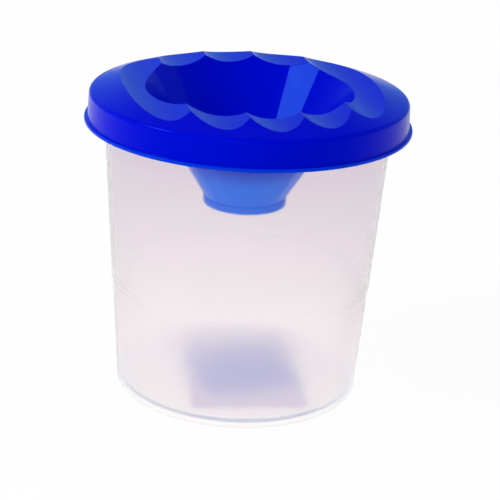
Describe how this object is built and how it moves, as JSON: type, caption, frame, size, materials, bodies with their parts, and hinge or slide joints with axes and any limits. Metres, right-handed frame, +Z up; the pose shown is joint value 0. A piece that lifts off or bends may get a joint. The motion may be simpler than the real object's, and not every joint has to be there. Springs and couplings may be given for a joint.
{
  "type": "brush washer with lid",
  "caption": "Translucent round cup for rinsing brushes, with a blue push-on lid that has parallel brush rests and a funnel that stops spills.",
  "frame": {"origin": "centre of the cup's foot ring, on the surface that the cup stands on", "axes": "+Z up along the cup's axis; Y along the parallel brush rests in the lid; X across them"},
  "size_m": [0.096, 0.096, 0.094],
  "materials": {
    "cup": "translucent natural polypropylene, smooth moulded",
    "lid": "opaque blue polypropylene, semi-gloss moulded",
    "label": "thin paper sticker with a plain printed block"
  },
  "bodies": {
    "cup": {"cup": "cup", "base_label": "label"},
    "lid": {"lid": "lid"}
  },
  "joints": [
    {"name": "lid_lift", "type": "slide", "parent": "cup", "child": "lid", "axis": [0, 0, 1], "range_m": [0, 0.045]}
  ]
}
